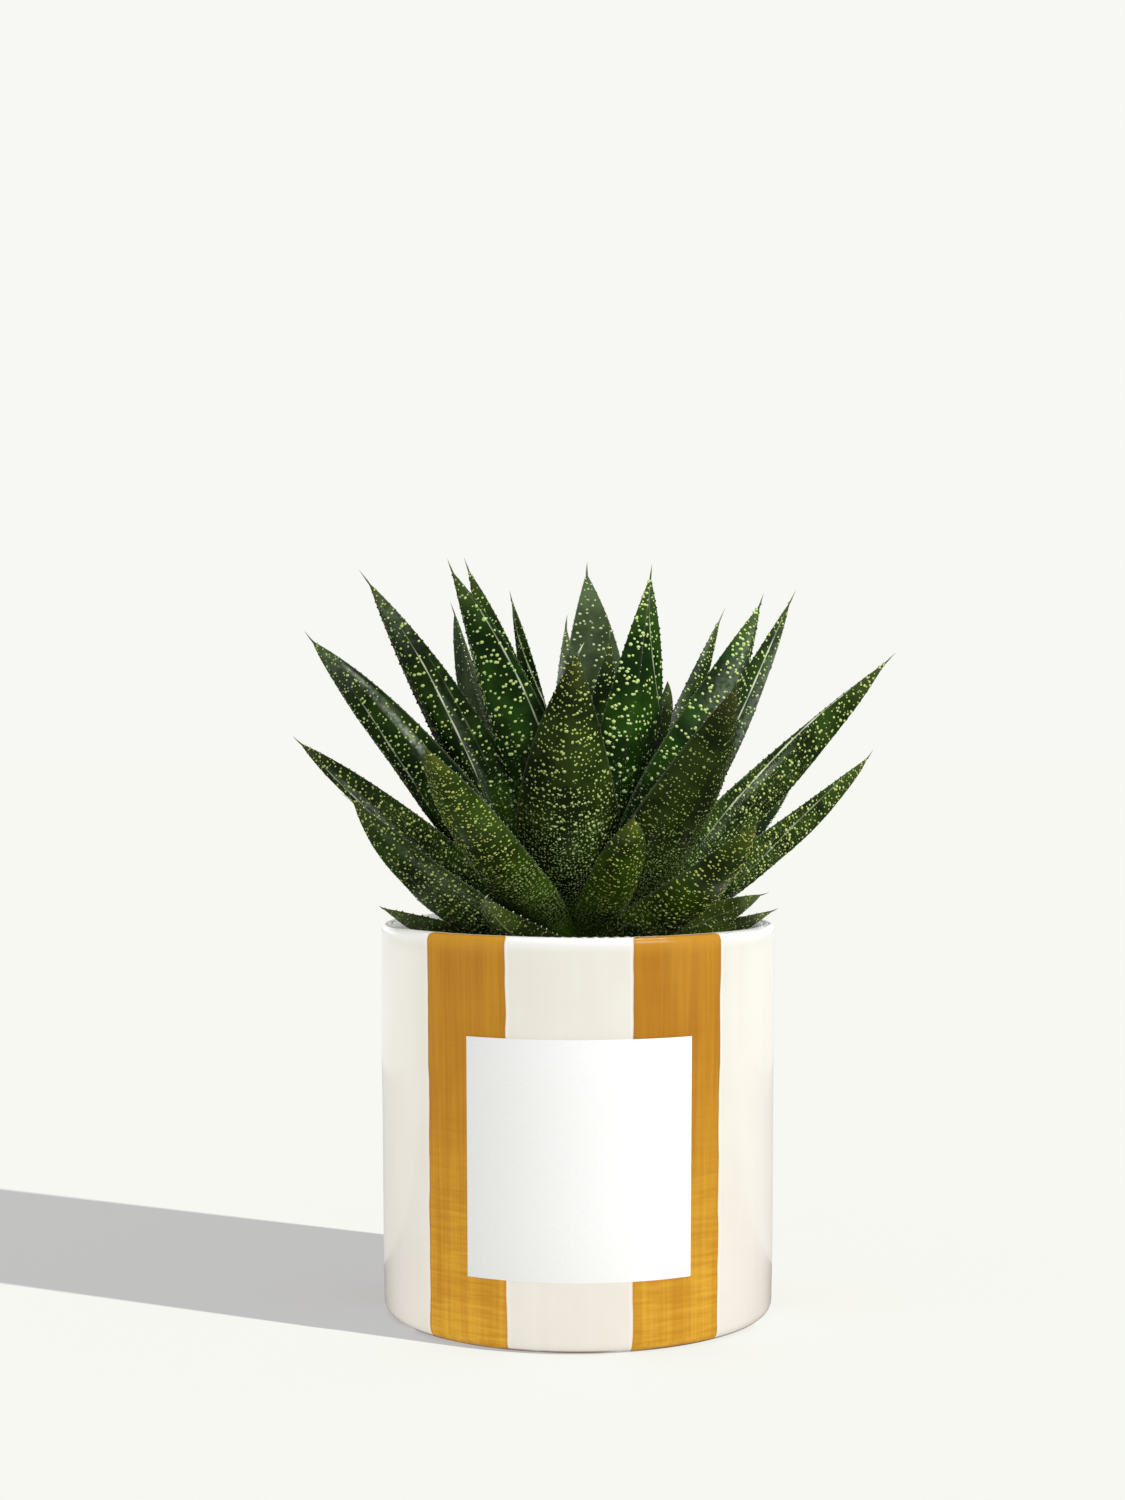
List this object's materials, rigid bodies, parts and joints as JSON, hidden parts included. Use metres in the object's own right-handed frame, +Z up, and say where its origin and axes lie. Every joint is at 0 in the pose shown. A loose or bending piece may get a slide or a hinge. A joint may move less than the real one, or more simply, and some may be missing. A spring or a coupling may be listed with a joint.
{
  "type": "gasteria in a pot",
  "caption": "Rosette of keeled, toothed and spotted succulent leaves on a short stem, in soil, in a straight glazed pot with vertical stripes and a blank paper label.",
  "frame": {"origin": "middle of the pot's flat underside", "axes": "+Z up, -Y the labelled front, +X to the right as seen from the front"},
  "size_m": [0.1835, 0.1531, 0.23],
  "materials": {
    "glaze": "gloss",
    "label_paper": "satin",
    "soil": "matte",
    "stem": "matte",
    "leaf_green": "satin"
  },
  "bodies": {
    "root": {"pot": "glaze", "label": "label_paper", "soil": "soil", "stem": "stem", "leaf_01": "leaf_green", "leaf_02": "leaf_green", "leaf_03": "leaf_green", "leaf_04": "leaf_green", "leaf_05": "leaf_green", "leaf_06": "leaf_green", "leaf_07": "leaf_green", "leaf_08": "leaf_green", "leaf_09": "leaf_green", "leaf_10": "leaf_green", "leaf_11": "leaf_green", "leaf_12": "leaf_green", "leaf_13": "leaf_green", "leaf_14": "leaf_green", "leaf_15": "leaf_green", "leaf_16": "leaf_green", "leaf_17": "leaf_green", "leaf_18": "leaf_green", "leaf_19": "leaf_green", "leaf_20": "leaf_green", "leaf_21": "leaf_green", "leaf_22": "leaf_green", "leaf_23": "leaf_green", "leaf_24": "leaf_green", "leaf_25": "leaf_green", "leaf_26": "leaf_green", "leaf_27": "leaf_green", "leaf_28": "leaf_green", "leaf_29": "leaf_green", "leaf_30": "leaf_green", "leaf_31": "leaf_green", "leaf_32": "leaf_green", "leaf_33": "leaf_green", "leaf_34": "leaf_green", "leaf_35": "leaf_green", "leaf_36": "leaf_green", "leaf_37": "leaf_green", "leaf_38": "leaf_green", "leaf_39": "leaf_green", "leaf_40": "leaf_green"}
  },
  "joints": []
}
